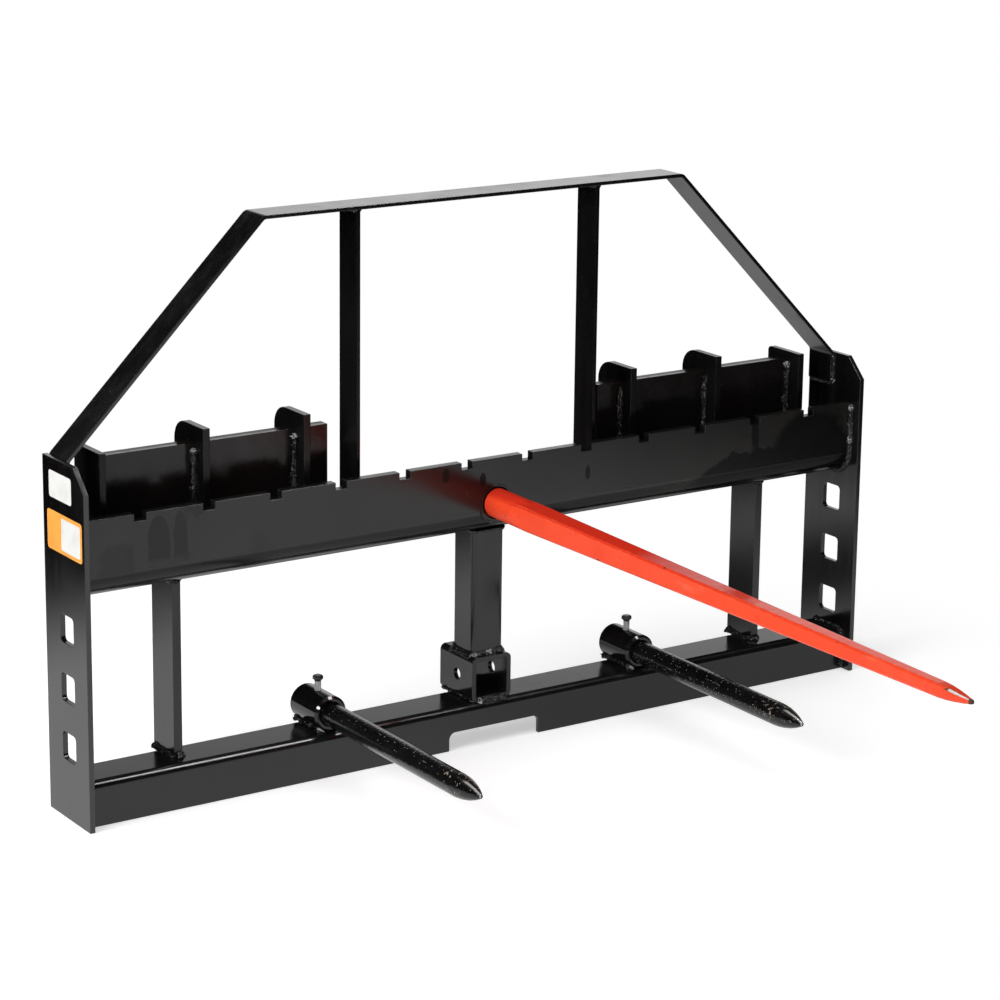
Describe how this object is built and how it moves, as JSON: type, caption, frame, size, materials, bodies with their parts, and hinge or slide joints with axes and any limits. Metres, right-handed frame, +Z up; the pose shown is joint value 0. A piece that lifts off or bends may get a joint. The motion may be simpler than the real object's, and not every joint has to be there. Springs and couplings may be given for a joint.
{
  "type": "bale spear",
  "caption": "Welded loader attachment for hay bales: a notched fork carriage with a long tapered spear, short stabilizer spears, a hitch receiver, coupler lips and an overhead guard bar.",
  "frame": {"origin": "on the ground, midway between the side plates, in the plane of their back edges where the loader's coupler sits", "axes": "+X to the right seen from the front, +Y back towards the loader, so the spears point along -Y, +Z up"},
  "size_m": [1.257, 1.09, 0.7625],
  "materials": {
    "frame_paint": "satin black powder coat",
    "spear_paint": "orange-red gloss paint, chipped, bare at the point",
    "stabilizer_paint": "gloss black over rough forged bar, worn near the points",
    "zinc_steel": "zinc plated"
  },
  "bodies": {
    "root": {"top_rail": "frame_paint", "bottom_rail": "frame_paint", "guard_bar": "frame_paint", "center_upright": "frame_paint", "receiver_tube": "frame_paint", "spear_sleeve": "frame_paint", "main_spear": "spear_paint", "spear_nut": "zinc_steel", "left_side_plate": "frame_paint", "left_guard_upright": "frame_paint", "left_lower_upright": "frame_paint", "left_stabilizer_sleeve": "frame_paint", "left_coupler_lip": "frame_paint", "left_inner_gusset": "frame_paint", "left_middle_gusset": "frame_paint", "left_outer_gusset": "frame_paint", "left_stabilizer_spear": "stabilizer_paint", "left_set_screw": "zinc_steel", "right_side_plate": "frame_paint", "right_guard_upright": "frame_paint", "right_lower_upright": "frame_paint", "right_stabilizer_sleeve": "frame_paint", "right_coupler_lip": "frame_paint", "right_inner_gusset": "frame_paint", "right_middle_gusset": "frame_paint", "right_outer_gusset": "frame_paint", "right_stabilizer_spear": "stabilizer_paint", "right_set_screw": "zinc_steel"}
  },
  "joints": []
}
